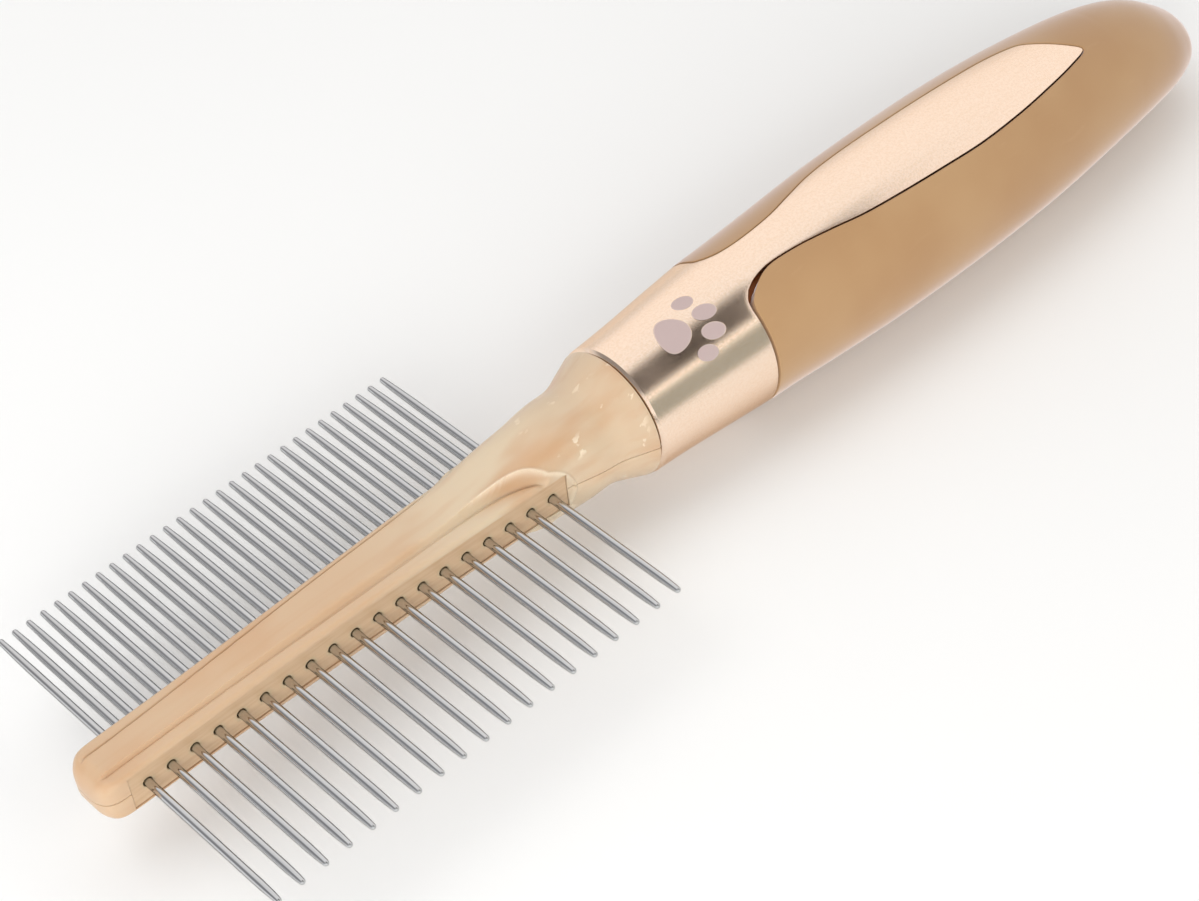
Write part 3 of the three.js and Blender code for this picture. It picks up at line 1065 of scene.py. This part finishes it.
def rubberGrip(material):
    leaf, corners, rear = outlineParts()
    count = len(rear) - 1
    rearGaps = [gap + handle["rearGap"] * smoothStep(0, 12, min(i, count - i))
                for i, gap in enumerate(gapAlong(len(rear), 7))]
    near, end, far = leafEdges(moved(leaf, gapAlong(len(leaf), 5)), corners)
    far = [[x, arc + wholeTurn] for x, arc in far]
    rear = moved(rear, [-gap for gap in rearGaps])
    rear[0], rear[-1] = near[0], far[0]
    # the last row beside the tongue runs from its point round to the other end of its slanted edge
    cross = [[mix(a, b, k / count) for a, b in zip(near[-1], far[-1])] for k in range(count + 1)]
    points = []
    grid = patch(rear, cross, near, far)
    for row in grid:
        points += [onHandle(x, arc) for x, arc in row]
    faces = gridFaces(len(grid), len(grid[0]))
    # closed rings from there to the butt
    start = len(points)
    ring = cross + [[x, arc + wholeTurn] for x, arc in end[::-1][1:]]
    lastRing, spans = handle["lastRing"], handle["ringSpans"]
    for k in range(spans + 1):
        points += [onHandle(mix(x, lastRing, k / spans), arc) for x, arc in ring]
    butt = [(x, r - handle["clear"] if r else 0, c) for x, r, c in handle["line"] if x > handle["buttFrom"]]
    for x, radius, centre in evenly(butt, handle["buttSpans"]):
        if x > lastRing + 0.5 and radius > handle["leastRadius"]:
            points += [handlePoint(x, radius, centre, arc) for _, arc in ring]
    faces += gridFaces((len(points) - start) // len(ring), len(ring), start)
    last = len(points) - len(ring)
    points.append((butt[-1][0], 0, butt[-1][2]))
    faces += [(last + k, last + k + 1, len(points) - 1) for k in range(len(ring) - 1)]
    return walls(newPiece("softRubberGrip", points, faces, material), 3)


shellMaterial = waxyShell()
stands(headShell("headUpperMoulding", 1, shellMaterial), "root", "shell", "head_upper_shell")
stands(headShell("headLowerMoulding", -1, shellMaterial), "root", "shell", "head_lower_shell")
print("head shells moulded")

for rowName, row in pinRows.items():
    finish = carrierPlastic(rowName + "CarrierPlastic", row)
    strip = pinCarrier(rowName + "PinStrip", row, finish)
    stands(strip, "root", "carrier", rowName + "_pin_carrier")
print("pin strips drilled")

steel = pinSteel()
turning = pinTree()
for rowName, row in pinRows.items():
    for k in range(row["count"]):
        node = f"{rowName}_pin_{k + 1:02d}"
        stands(turnPin(turning, row, node, steel), node, "pin", node)
print("pins turned")

stands(goldSleeve(satinGold(handleAt(pawPrint["x"])[0])), "root", "sleeve", "gold_sleeve")
stands(rubberGrip(matteRubber()), "root", "grip", "rubber_grip")
print("sleeve and grip fitted")

core = corePlastic()
for node in ("handle_core", "pin_backing_bar"):
    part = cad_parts[node]
    part.data.materials.clear()
    part.data.materials.append(core)
print("inner parts finished")


floorLook = {"base": "f4f4f3", "cloud": "f7f7f6", "halfSize": 3.0}


def paleFloor():
    material, graph, at = newMaterial("paleFloor")
    cloud = graph.noise(at, 0.01, 2.0)
    surface(graph, {
        "Base Color": graph.blend(cloud, colour(floorLook["base"]), colour(floorLook["cloud"])),
        "Roughness": 0.75,
    })
    size = floorLook["halfSize"]
    mesh = bpy.data.meshes.new("floor")
    corners = [(-size, -size, 0), (size, -size, 0), (size, size, 0), (-size, size, 0)]
    mesh.from_pydata(corners, [], [(0, 1, 2, 3)])
    mesh.materials.append(material)
    floor = bpy.data.objects.new("studioFloor", mesh)
    bpy.context.scene.collection.objects.link(floor)


lights = {
    # place, width and height in metres, power in watts
    "overheadSoftbox": ((-0.45, 0.25, 0.8), (0.6, 0.6), 1.9),
    "frontSoftbox": ((-0.6, -0.65, 0.45), (0.8, 0.6), 5.6),
}
studio = {
    "zenith": (0.86, 0.86, 0.87, 1.0),
    "overhead": (1.0, 1.0, 1.0, 1.0),
    "backRight": (1.04, 1.02, 1.01, 1.0),
    "backLeft": (0.3, 0.3, 0.31, 1.0),
    "horizon": (0.85, 0.85, 0.86, 1.0),
    "frontRight": (0.4, 0.43, 0.4, 1.0),
    "strip": (1.3, 1.28, 1.22, 1.0),
    "frontLeft": (1.0, 1.0, 1.0, 1.0),
    "gap": (0.02, 0.013, 0.01, 1.0),
    # where one tone gives way to the next, as parts of a view's direction
    "backSides": (-0.6, 0.2),
    "frontSides": (-0.25, 0.3),
    "horizonHeight": (0.15, 0.35),
    "overheadHeight": (0.76, 0.9),
    "zenithDepth": (0.4, 0.52),
    "stripSide": (0.0, 0.2),
    "gapSides": (-0.3, -0.1, 0.4, 0.5),
    # degrees from overhead, round the line of the handle: the dark gap and the strip light below it
    "gapRange": (-4.0, 12.0, 42.0, 50.0),
    "stripRange": (44.0, 50.0, 54.0, 60.0),
}


def softLight(name, position, size, power):
    data = bpy.data.lights.new(name, "AREA")
    data.shape = "RECTANGLE"
    data.size, data.size_y = size
    data.energy = power
    light = bpy.data.objects.new(name, data)
    light.location = position
    light.rotation_mode = "QUATERNION"
    light.rotation_quaternion = (-Vector(position)).to_track_quat("-Z", "Y")
    light.visible_glossy = False  # the steel mirrors only the softer world
    bpy.context.scene.collection.objects.link(light)


def studioWorld():
    world = bpy.data.worlds.new("softStudio")
    world.use_nodes = True
    world.node_tree.nodes.clear()
    graph = Graph(world.node_tree)
    x, y, z = graph.axes(graph.wire("ShaderNodeTexCoord", "Generated"))
    around = graph.maths("ARCTAN2", 0.0 - y, z) * math.degrees(1)
    gapRange, stripRange, gapSides = studio["gapRange"], studio["stripRange"], studio["gapSides"]
    back = graph.blend(graph.ramp(x, *studio["backSides"]), studio["backLeft"], studio["backRight"])
    back = graph.blend(graph.ramp(z, *studio["horizonHeight"], 1.0, 0.0), back, studio["horizon"])
    above = graph.blend(graph.ramp(y, *studio["zenithDepth"]), studio["overhead"], studio["zenith"])
    back = graph.blend(graph.ramp(z, *studio["overheadHeight"]), back, above)
    front = graph.blend(graph.ramp(x, *studio["frontSides"]), studio["frontLeft"], studio["frontRight"])
    tone = graph.blend(graph.ramp(around, *gapRange[2:]), back, front)
    strip = graph.ramp(around, *stripRange[:2]) * graph.ramp(around, *stripRange[2:], 1.0, 0.0)
    strip = strip * graph.ramp(x, *studio["stripSide"])
    tone = graph.blend(strip, tone, studio["strip"])
    # the gap ends to the right, so the flaring collar shows it and the tongue hardly does
    gap = graph.ramp(around, *gapRange[:2]) * graph.ramp(around, *gapRange[2:], 1.0, 0.0)
    gap = gap * graph.ramp(x, *gapSides[:2]) * graph.ramp(x, *gapSides[2:], 1.0, 0.0)
    tone = graph.blend(gap, tone, studio["gap"])
    sky = graph.wire("ShaderNodeBackground", 0, None, {"Color": tone, "Strength": 1.0})
    graph.node("ShaderNodeOutputWorld", None, {"Surface": sky})
    bpy.context.scene.world = world


camera = {
    "target": (91.7, -4.75, 0),
    "azimuth": -38.6,
    "elevation": 45.3,
    "roll": -6.7,
    "distance": 0.4545,
    "lens": 84.5,
}


def studioCamera():
    turn, lift, roll = (math.radians(camera[k]) for k in ("azimuth", "elevation", "roll"))
    back = Vector((math.sin(turn) * math.cos(lift), -math.cos(turn) * math.cos(lift), math.sin(lift)))
    level = Vector((math.cos(turn), math.sin(turn), 0))
    right = math.cos(roll) * level + math.sin(roll) * back.cross(level)
    data = bpy.data.cameras.new("studioCamera")
    data.lens = camera["lens"]
    data.sensor_width = 36
    data.clip_start = 0.01
    view = bpy.data.objects.new("studioCamera", data)
    turned = Matrix((right, back.cross(right), back)).transposed().to_4x4()
    stand = Matrix.Translation(place(*camera["target"]) + back * camera["distance"])
    view.matrix_world = stand @ turned
    bpy.context.scene.collection.objects.link(view)
    bpy.context.scene.camera = view


paleFloor()
for name, (position, size, power) in lights.items():
    softLight(name, position, size, power)
studioWorld()
studioCamera()
bpy.context.scene.view_settings.view_transform = "Standard"
print("studio lit")
